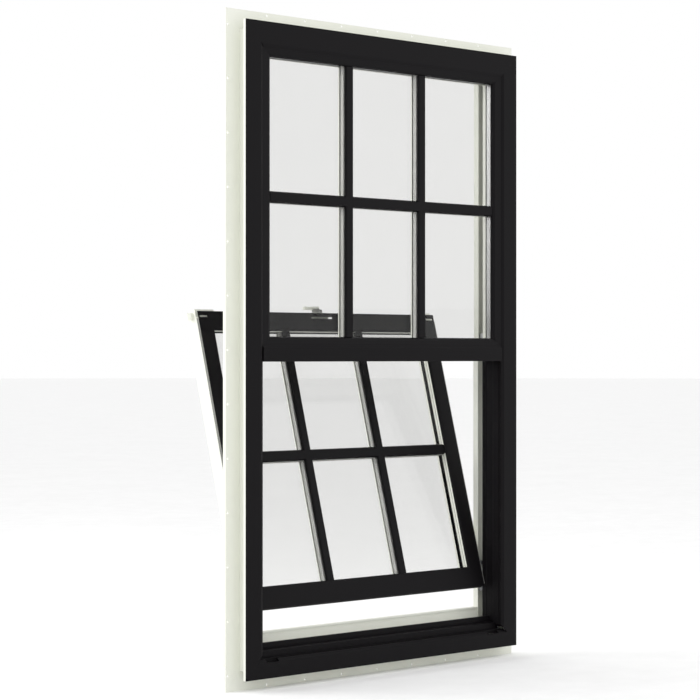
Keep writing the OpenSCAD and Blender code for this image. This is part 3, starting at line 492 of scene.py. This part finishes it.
def pane_glass():
    """Clear glass that lets lamps through, with a faint uneven polish."""
    found = bpy.data.materials.get("pane_glass")
    if found:
        return found
    finishes = bpy.context.scene.window_finishes
    material, tree, shader, out = blank_material("pane_glass")
    grain = place_group(tree, "Grain", Scale=60.0)
    tree.links.new(colour_mix(tree, grain.outputs["Tone"], rgba(finishes.glass, 0.99),
                              rgba(finishes.glass, 1.01)), shader.inputs["Base Color"])
    tree.links.new(number_mix(tree, grain.outputs["Tone"], 0.0, 0.0015),
                   shader.inputs["Roughness"])
    shader.inputs["Transmission Weight"].default_value = 1.0
    shader.inputs["Specular IOR Level"].default_value = 0.12
    shader.inputs["IOR"].default_value = 1.18
    clear = new_node(tree, "ShaderNodeBsdfTransparent",
                     sockets={"Color": rgba(finishes.glass)})
    path = new_node(tree, "ShaderNodeLightPath")
    mix = new_node(tree, "ShaderNodeMixShader",
                   sockets={0: path.outputs["Is Shadow Ray"], 1: shader.outputs[0],
                            2: clear.outputs[0]})
    tree.links.new(mix.outputs[0], out.inputs[0])
    return material


def spacer_metal(name, colour):
    """The perforated strip between two panes, with its row of fine holes, drawn as dark dots of
    painted shade in place of their depth.
    """
    found = bpy.data.materials.get(name)
    if found:
        return found
    material, tree, shader, _ = blank_material(name)
    place = new_node(tree, "ShaderNodeTexCoord").outputs["Object"]
    dots = new_node(tree, "ShaderNodeTexVoronoi",
                    sockets={"Vector": place, "Scale": 420.0, "Randomness": 0.0})
    hole_and_its_shade = below(tree, dots.outputs["Distance"], 0.28)
    # Painted shade: each hole is a dark dot standing in for the shade inside it.
    base = colour_mix(tree, hole_and_its_shade, rgba(colour), rgba(colour, 0.25))
    tree.links.new(base, shader.inputs["Base Color"])
    tree.links.new(number_mix(tree, hole_and_its_shade, 0.45, 0.8), shader.inputs["Roughness"])
    tree.links.new(soft_bump(tree, maths(tree, "SUBTRACT", 1.0, hole_and_its_shade), 0.0001),
                   shader.inputs["Normal"])
    return material


def pile_fibre():
    """Grey fibre of the weather pile, streaked along the tufts."""
    found = bpy.data.materials.get("pile_fibre")
    if found:
        return found
    material, tree, shader, _ = blank_material("pile_fibre")
    grain = place_group(tree, "Grain", Scale=2600.0, Stretch=(0.2, 0.2, 1))
    tree.links.new(colour_mix(tree, grain.outputs["Tone"], (0.2, 0.2, 0.19, 1),
                              (0.5, 0.5, 0.48, 1)), shader.inputs["Base Color"])
    tree.links.new(soft_bump(tree, grain.outputs["Height"], 0.0001, 0.8),
                   shader.inputs["Normal"])
    shader.inputs["Roughness"].default_value = 0.9
    shader.inputs["Sheen Weight"].default_value = 0.3
    return material


def put_on(material, *names):
    """Gives CAD nodes their finish."""
    for name in names:
        mesh = NODES[name].data
        mesh.materials.clear()
        mesh.materials.append(material)


def add_piece(name, mesh, material, body, replaced):
    """Links a new piece, gives it its finish and hides the nodes that it stands for.

    body is None for a piece that is attached to no body.
    """
    mesh.materials.append(material)
    piece = bpy.data.objects.new(name, mesh)
    bpy.context.scene.collection.objects.link(piece)
    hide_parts(*replaced)
    if body:
        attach(piece, body)
    return piece


def smooth_by_angle(mesh):
    """Shades round stretches smooth and leaves edges over 35 degrees sharp."""
    mesh.shade_smooth()
    mesh.set_sharp_from_angle(angle=math.radians(35))


def box_into(bm, low, high):
    """Adds a box to a bmesh."""
    low, high = Vector(low), Vector(high)
    middle, size = (low + high) / 2, high - low
    place = Matrix.Translation(middle) @ Matrix.Diagonal((*size, 1))
    bmesh.ops.create_cube(bm, size=1, matrix=place)


def outline_into(bm, outline, z0, z1):
    """Adds a flat outline of (x, y) points raised from z0 to z1."""
    low = [bm.verts.new((x, y, z0)) for x, y in outline]
    top = [bm.verts.new((x, y, z1)) for x, y in outline]
    bm.faces.new(low[::-1])
    bm.faces.new(top)
    count = len(outline)
    for i in range(count):
        j = (i + 1) % count
        bm.faces.new((low[i], low[j], top[j], top[i]))


def strip_into(bm, rings):
    """Closes a run of four-cornered rings into a solid strip."""
    bm.faces.new(rings[0])
    bm.faces.new(rings[-1][::-1])
    for a, b in zip(rings, rings[1:]):
        for k in range(4):
            n = (k + 1) % 4
            bm.faces.new((a[k], a[n], b[n], b[k]))


def circle(x, y, radius, steps=32, start=0.0, turn=math.tau):
    """Points of an arc or a full circle."""
    whole = abs(turn - math.tau) < 1e-6
    last = steps if whole else steps - 1
    return [(x + radius * math.cos(start + turn * i / last),
             y + radius * math.sin(start + turn * i / last)) for i in range(steps)]


def mesh_from(bm, name, matrix=None):
    """A finished mesh from a bmesh, moved to its place."""
    if matrix is not None:
        bm.transform(matrix)
    bmesh.ops.recalc_face_normals(bm, faces=bm.faces[:])
    mesh = bpy.data.meshes.new(name)
    bm.to_mesh(mesh)
    bm.free()
    return mesh


# ---------- operators ----------


class WINDOW_OT_frame_finish(bpy.types.Operator):
    """Give the frame, its liners, screws and meeting rail their finishes"""

    bl_idname = "sash_window.frame_finish"
    bl_label = "Frame finish"

    def execute(self, context):
        film = two_tone("frame_two_tone", "Frame film",
                        **{"Inner half width": BODY_X - REVEAL_INSET,
                           "Inner half height": HALF_H - REVEAL_INSET})
        put_on(film, "head", "sill", "jamb_left", "jamb_right")
        rail = two_tone("rail_two_tone", "Frame film",
                        **{"Split depth": RAIL_SPLIT, "Inner half width": BODY_X,
                           "Inner half height": HALF_H})
        put_on(rail, "meeting_rail")
        put_on(black_film(), "jamb_liner_left", "jamb_liner_right")
        put_on(enamel(), "meeting_rail_screws")
        return {"FINISHED"}


class WINDOW_OT_upper_light(bpy.types.Operator):
    """Finish the fixed light's beads, stops, bars, spacer and blocks"""

    bl_idname = "sash_window.upper_light"
    bl_label = "Upper light"

    def execute(self, context):
        put_on(black_film(), "upper_bars_outer",
               *(f"upper_bead_{side}" for side in ("head", "sill", "left", "right")))
        put_on(cream_vinyl(), "upper_bars_inner",
               *(f"upper_stop_{side}" for side in ("head", "left", "right")))
        put_on(bar_paint(), "upper_bars_between")
        put_on(spacer_metal("spacer_grey", (0.5, 0.5, 0.49)), "upper_spacer")
        put_on(block_rubber(), "upper_setting_blocks")
        return {"FINISHED"}


class WINDOW_OT_sash_finish(bpy.types.Operator):
    """Finish the lower sash's rails, stiles, beads, bars, spacer and blocks"""

    bl_idname = "sash_window.sash_finish"
    bl_label = "Sash finish"

    def execute(self, context):
        film = two_tone("sash_two_tone", "Sash film")
        put_on(film, "sash_stile_left", "sash_stile_right", "sash_top_rail",
               "sash_bottom_rail")
        put_on(cream_vinyl(), "sash_bars_inner")
        put_on(two_tone("bead_two_tone", "Sash film", **{"Lip depth": BEAD_LIP}),
               *(f"sash_bead_{side}" for side in ("top", "bottom", "left", "right")))
        put_on(black_film(), "sash_bars_outer")
        put_on(bar_paint(), "sash_bars_between")
        put_on(two_tone("spacer_two_tone", "Sash edge", **{"From depth": SEALANT_DEPTH}),
               "sash_spacer")
        put_on(block_rubber(), "sash_setting_blocks")
        return {"FINISHED"}


class WINDOW_OT_glazing(bpy.types.Operator):
    """Make the four panes clear glass"""

    bl_idname = "sash_window.glazing"
    bl_label = "Glazing"

    def execute(self, context):
        put_on(pane_glass(), "upper_pane_outer", "upper_pane_inner", "sash_pane_outer",
               "sash_pane_inner")
        return {"FINISHED"}


class WINDOW_OT_hardware(bpy.types.Operator):
    """Finish the lock's base, the keeper, latches, pivots and balances"""

    bl_idname = "sash_window.hardware"
    bl_label = "Hardware"

    def execute(self, context):
        put_on(enamel(), "lock_base")
        put_on(cream_vinyl(), "latch_housings", "latch_bolt_left", "latch_bolt_right")
        put_on(steel(), "keeper_screws", "lock_screws", "bracket_screws", "pivot_bars",
               "shoe_cams", "balance_bracket_left", "balance_bracket_right")
        put_on(zinc_darkened_for_shade(), "lock_keeper")
        put_on(vinyl("shoe_plastic", (0.16, 0.165, 0.17), 0.55, 0.4, 700.0),
               "balance_shoe_left", "balance_shoe_right")
        return {"FINISHED"}


class WINDOW_OT_weather_pile(bpy.types.Operator):
    """Build the tufted weather pile of the sash's sides and of the meeting rail"""

    bl_idname = "sash_window.weather_pile"
    bl_label = "Weather pile"

    def tufts(self, bm, root, along, out, side, length, pitch):
        """Adds two rows of tapered tufts that lean a little, each to its own length."""
        count = int(length / pitch)
        half = pitch * 0.62
        for row in (-0.22, 0.22):
            for i in range(count):
                sway = math.sin(i * 2.4 + row * 9) * 0.35
                reach = 0.93 + 0.07 * math.sin(i * 1.7 + row * 5)
                foot = root + along * ((i + 0.5) * pitch) + side * row
                tip = foot + out * reach + along * (sway * pitch)
                corners = [bm.verts.new(foot + along * a * half + side * b * 0.2)
                           for a, b in ((-1, -1), (1, -1), (1, 1), (-1, 1))]
                ends = [bm.verts.new(tip + along * a * half * 0.5 + side * b * 0.1)
                        for a, b in ((-1, -1), (1, -1), (1, 1), (-1, 1))]
                bm.faces.new(ends)
                for k in range(4):
                    n = (k + 1) % 4
                    bm.faces.new((corners[k], corners[n], ends[n], ends[k]))

    def execute(self, context):
        pitch = context.scene.window_parts.tuft_pitch
        bm = bmesh.new()
        low, top = PILE_LOW, SASH_HEIGHT - FLANGE_HEIGHT - PILE_TOP_GAP
        y0, y1 = PILE_Y
        for s in (-1, 1):
            edge = s * SASH_X
            inner = s * (SASH_X - PILE_GROOVE)
            box_into(bm, (min(edge, inner), y0, low), (max(edge, inner), y1, top))
            self.tufts(bm, Vector((edge, (y0 + y1) / 2, low)), Vector((0, 0, 1)),
                       Vector((s * PILE_REACH, 0, 0)), Vector((0, y1 - y0, 0)), top - low, pitch)
        mesh = mesh_from(bm, "sash_weather_pile", sash_place())
        add_piece("sash_weather_pile", mesh, pile_fibre(), "sash", ["sash_side_piles"])

        low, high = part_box("meeting_rail_pile")
        bm = bmesh.new()
        backing = low.y + PILE_GROOVE
        box_into(bm, low, (high.x, backing, high.z))
        root = Vector((low.x, backing, (low.z + high.z) / 2))
        self.tufts(bm, root, Vector((1, 0, 0)), Vector((0, high.y - backing, 0)),
                   Vector((0, 0, high.z - low.z)), high.x - low.x, pitch)
        mesh = mesh_from(bm, "rail_weather_pile")
        add_piece("rail_weather_pile", mesh, pile_fibre(), "frame", ["meeting_rail_pile"])
        return {"FINISHED"}


class WINDOW_OT_bottom_seal(bpy.types.Operator):
    """Build the bulb seal under the sash"""

    bl_idname = "sash_window.bottom_seal"
    bl_label = "Bottom seal"

    def execute(self, context):
        steps = context.scene.window_parts.seal_round
        half = SASH_X - SEAL_END_GAP
        y0, y1 = SEAL_Y
        middle, radius = (y0 + y1) / 2, (y1 - y0) / 2
        outline = [(middle + radius * math.cos(a), -SEAL_DROP * math.sin(a))
                   for a in (math.pi * i / steps for i in range(steps + 1))]
        bm = bmesh.new()
        ends = [[bm.verts.new((x, y, z)) for y, z in outline] for x in (-half, half)]
        bm.faces.new(ends[0])
        bm.faces.new(ends[1][::-1])
        count = len(outline)
        for i in range(count):
            j = (i + 1) % count
            bm.faces.new((ends[0][i], ends[0][j], ends[1][j], ends[1][i]))
        mesh = mesh_from(bm, "bottom_bulb_seal", sash_place())
        smooth_by_angle(mesh)
        rubber = vinyl("seal_rubber", (0.012, 0.012, 0.012), 0.6, 0.35, 300.0)
        add_piece("bottom_bulb_seal", mesh, rubber, "sash", ["sash_bottom_seal"])
        return {"FINISHED"}


class WINDOW_OT_balance_coils(bpy.types.Operator):
    """Wind the spring coil of each balance, and hang its ribbon from the bracket"""

    bl_idname = "sash_window.balance_coils"
    bl_label = "Balance coils"

    def ribbon(self, side):
        """The free stretch of spring, drawn as a fixed strip; on the real balance it shortens as
        the coil rises.
        """
        low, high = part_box(f"balance_ribbon_{side}")
        bm = bmesh.new()
        rings = []
        for i in range(RIBBON_STEPS + 1):
            z = low.z + (high.z - low.z) * i / RIBBON_STEPS
            rings.append([bm.verts.new((x, y, z)) for x, y in
                          ((low.x, low.y), (high.x, low.y), (high.x, high.y), (low.x, high.y))])
        strip_into(bm, rings)
        piece = add_piece(f"spring_ribbon_{side}", mesh_from(bm, f"spring_ribbon_{side}"),
                          steel(), None, [f"balance_ribbon_{side}"])
        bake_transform(piece)

    def execute(self, context):
        turns = context.scene.window_parts.coil_turns
        for side in ("left", "right"):
            low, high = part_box(f"balance_coil_{side}")
            middle = (low + high) / 2
            outer, inner = (high.z - low.z) / 2, COIL_INNER
            pitch = (outer - inner) / turns
            steps = turns * COIL_STEPS_PER_TURN
            bm = bmesh.new()
            rings = []
            for i in range(steps + 1):
                angle = math.tau * turns * i / steps
                radius = inner + pitch * 0.35 + (outer - inner - pitch * 0.7) * i / steps
                ring = []
                for r, y in ((radius - pitch * 0.3, low.y), (radius + pitch * 0.3, low.y),
                             (radius + pitch * 0.3, high.y), (radius - pitch * 0.3, high.y)):
                    ring.append(bm.verts.new((middle.x + r * math.cos(angle), y,
                                              middle.z + r * math.sin(angle))))
                rings.append(ring)
            strip_into(bm, rings)
            mesh = mesh_from(bm, f"spring_coil_{side}")
            smooth_by_angle(mesh)
            add_piece(f"spring_coil_{side}", mesh, steel(), "carriage",
                      [f"balance_coil_{side}"])
            self.ribbon(side)
        return {"FINISHED"}


class WINDOW_OT_lock_lever(bpy.types.Operator):
    """Build the lock's spindle, cam and curved thumb lever"""

    bl_idname = "sash_window.lock_lever"
    bl_label = "Lock lever"

    def execute(self, context):
        deck = SASH_HEIGHT - FLANGE_HEIGHT
        place = sash_place() @ Matrix.Translation((0, LOCK_DEPTH, deck))
        bm = bmesh.new()
        outline_into(bm, circle(0, 0, SPINDLE_RADIUS), 0.001, 0.0145)
        outline_into(bm, circle(0, 0, CAM_RADIUS, 40), 0.001, 0.0034)
        tongue = [(0, TONGUE_HALF), (0, -TONGUE_HALF), (CAM_REACH, -TONGUE_HALF)]
        tongue += circle(CAM_REACH, 0, 0.003, 9, -math.pi / 2, math.pi)
        tongue += [(CAM_REACH, TONGUE_HALF)]
        outline_into(bm, tongue, 0.00105, 0.00335)
        outline_into(bm, circle(0, 0, HUB_RADIUS, 40), 0.0144, 0.0235)
        heel = circle(0, 0, 0.0062, 17, math.pi / 2, math.pi)
        heel += circle(HEEL_REACH, 0, 0.0046, 17, -math.pi / 2, math.pi)
        outline_into(bm, heel, 0.0165, 0.0222)
        # The spindle, cam, tongue, hub and heel above take the dark zinc, whose darkness is
        # partly painted shade round the hub; the arm and its caps take the enamel.
        plain_faces = len(bm.faces)
        arm = circle(0, 0, HUB_RADIUS, 17, -math.pi / 2, math.pi)
        arm += circle(*LEVER_END, 0.0048, 17, math.pi / 2, math.pi)
        outline_into(bm, arm, 0.0235, 0.0275)
        outline_into(bm, circle(*LEVER_END, 0.0044, 24), 0.0274, 0.0288)
        outline_into(bm, circle(0, 0, 0.0055, 32), 0.0274, 0.0283)
        bm.faces.ensure_lookup_table()
        for face in bm.faces[plain_faces:]:
            face.material_index = 1
        mesh = mesh_from(bm, "lock_lever", place)
        smooth_by_angle(mesh)
        lever = add_piece("lock_lever", mesh, zinc_darkened_for_shade(), "lock", ["lock_cam"])
        mesh.materials.append(enamel())
        bevel = lever.modifiers.new("rounding", "BEVEL")
        bevel.width = context.scene.window_parts.lever_bevel
        bevel.segments = 3
        bevel.limit_method = "ANGLE"
        bevel.angle_limit = math.radians(50)
        return {"FINISHED"}


class WINDOW_OT_stage(bpy.types.Operator):
    """Set the floor, the soft lights and the camera"""

    bl_idname = "sash_window.stage"
    bl_label = "Stage"

    def lamp(self, name, place, target, power, size):
        light = bpy.data.lights.new(name, "AREA")
        light.shape = "RECTANGLE"
        light.size, light.size_y = size
        light.energy = power
        lamp = bpy.data.objects.new(name, light)
        lamp.location = place
        lamp.rotation_euler = (Vector(target) - Vector(place)).to_track_quat("-Z", "Y").to_euler()
        bpy.context.scene.collection.objects.link(lamp)

    def execute(self, context):
        stage = context.scene.window_stage
        floor_z = CAD_BOX[0].z
        bm = bmesh.new()
        bmesh.ops.create_circle(bm, cap_ends=True, segments=96, radius=60.0,
                                matrix=Matrix.Translation((0, 0, floor_z)))
        floor = bpy.data.objects.new("studio_floor", mesh_from(bm, "studio_floor"))
        floor.data.materials.append(vinyl("floor_paint", stage.floor, 0.85, 0.1, 3.0))
        context.scene.collection.objects.link(floor)

        world = bpy.data.worlds.new("studio")
        context.scene.world = world
        world.use_nodes = True
        sky = world.node_tree.nodes["Background"]
        sky.inputs["Color"].default_value = (1, 1, 1, 1)
        sky.inputs["Strength"].default_value = stage.sky

        self.lamp("key", (-3.6, -2.6, 2.6), (0, 0, 0), stage.key, (3.0, 2.4))
        self.lamp("fill", (2.8, -3.4, 1.4), (0, 0, -0.2), stage.key * 0.35, (2.6, 2.6))
        self.lamp("room", (-2.6, 2.2, 1.6), (0, 0, 0), stage.key * 1.7, (2.4, 2.0))

        data = bpy.data.cameras.new("camera")
        data.sensor_width = 36
        data.lens = stage.camera_lens
        data.shift_y = 0.0076
        camera = bpy.data.objects.new("camera", data)
        camera.location = stage.camera_place
        camera.rotation_euler = (math.pi / 2, 0, stage.camera_turn)
        context.scene.collection.objects.link(camera)
        context.scene.camera = camera
        context.scene.view_settings.view_transform = "Standard"
        return {"FINISHED"}


PIECES = (WINDOW_OT_frame_finish, WINDOW_OT_upper_light, WINDOW_OT_sash_finish,
          WINDOW_OT_glazing, WINDOW_OT_hardware, WINDOW_OT_weather_pile,
          WINDOW_OT_bottom_seal, WINDOW_OT_balance_coils, WINDOW_OT_lock_lever,
          WINDOW_OT_stage)


class WINDOW_PT_panel(bpy.types.Panel):
    """The window's parts and settings"""

    bl_label = "Sash Window"
    bl_idname = "WINDOW_PT_panel"
    bl_space_type = "VIEW_3D"
    bl_region_type = "UI"
    bl_category = "Sash Window"

    def draw(self, context):
        for group in ("window_finishes", "window_parts", "window_stage"):
            settings = getattr(context.scene, group)
            box = self.layout.box()
            for name in settings.__annotations__:
                box.prop(settings, name)
        for operator in PIECES:
            self.layout.operator(operator.bl_idname)


SETTINGS = {"window_finishes": WindowFinishes, "window_parts": WindowParts,
            "window_stage": WindowStage}


def register():
    for cls in (*SETTINGS.values(), *PIECES, WINDOW_PT_panel):
        bpy.utils.register_class(cls)
    for name, cls in SETTINGS.items():
        setattr(bpy.types.Scene, name, PointerProperty(type=cls))


def unregister():
    for name in SETTINGS:
        delattr(bpy.types.Scene, name)
    for cls in reversed((*SETTINGS.values(), *PIECES, WINDOW_PT_panel)):
        bpy.utils.unregister_class(cls)


def main():
    """Registers the add-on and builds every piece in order."""
    register()
    for operator in PIECES:
        category, name = operator.bl_idname.split(".")
        result = getattr(getattr(bpy.ops, category), name)()
        if result != {"FINISHED"}:
            raise RuntimeError(f"{operator.bl_idname} did not finish")


if __name__ == "__main__":
    main()
